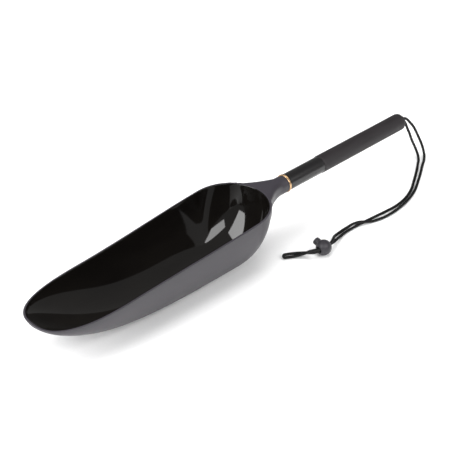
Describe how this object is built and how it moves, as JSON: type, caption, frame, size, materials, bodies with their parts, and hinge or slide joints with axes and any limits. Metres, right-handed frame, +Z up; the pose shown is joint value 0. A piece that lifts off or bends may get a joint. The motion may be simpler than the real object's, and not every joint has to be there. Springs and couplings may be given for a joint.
{
  "type": "hand scoop",
  "caption": "Long, spoon-shaped moulded hand scoop with a screw-on round handle, a soft grip sleeve and a wrist lanyard with a ball cord lock.",
  "frame": {"origin": "on the floor that the belly rests on, midway between the scoop's tip and the end cap's nose, under the handle's axis", "axes": "+X along the handle from the scoop's tip to the end cap, +Z up out of the bowl, +Y across it to the left"},
  "size_m": [0.576, 0.118, 0.0689],
  "materials": {
    "scoop_plastic": "injection-moulded, satin outside and gloss inside",
    "stud_aluminium": "turned, with a cut machine thread",
    "ring_gold": "turned and anodised gold",
    "tube_lacquer": "carbon and glass composite tube under clear gloss lacquer",
    "bush_aluminium": "turned, plain",
    "grip_rubber": "shrink-fitted rubber sleeve, fine matte texture",
    "cap_plastic": "moulded, fine matte texture",
    "cord_weave": "round woven polyester cord, singed ends",
    "lock_plastic": "moulded acetal, satin",
    "spring_steel": "drawn spring wire"
  },
  "bodies": {
    "handle": {"handle_tube": "tube_lacquer", "threaded_bush": "bush_aluminium", "grip_sleeve": "grip_rubber", "end_cap": "cap_plastic", "lanyard_knot": "cord_weave", "lanyard_cord_a": "cord_weave", "lanyard_cord_b": "cord_weave", "lanyard_bight": "cord_weave"},
    "joint_ring": {"trim_ring": "ring_gold"},
    "scoop_head": {"scoop": "scoop_plastic", "threaded_stud": "stud_aluminium"},
    "cord_lock": {"lock_ball": "lock_plastic", "lock_spring": "spring_steel"},
    "lock_button": {"lock_plunger": "lock_plastic"}
  },
  "joints": [
    {"name": "joint_ring_lift", "type": "slide", "parent": "handle", "child": "joint_ring", "axis": [-1, 0, 0], "range_m": [0, 0.0128]},
    {"name": "scoop_turn", "type": "hinge", "parent": "joint_ring", "child": "scoop_head", "pos_m": [0.071, 0, 0.058], "axis": [-1, 0, 0], "range_deg": [0, 3600]},
    {"name": "lock_slide", "type": "slide", "parent": "handle", "child": "cord_lock", "axis": [1, 0, 0], "range_m": [0, 0.004]},
    {"name": "plunger_press", "type": "slide", "parent": "cord_lock", "child": "lock_button", "axis": [0, -0.9563, -0.2924], "range_m": [0, 0.0016], "stiffness_N_per_m": 1500, "springref_m": -0.003, "deforming": ["lock_spring"]}
  ],
  "couplings": [
    {"joint": "joint_ring_lift", "follows": "scoop_turn", "m_per_rad": 0.00020213}
  ]
}
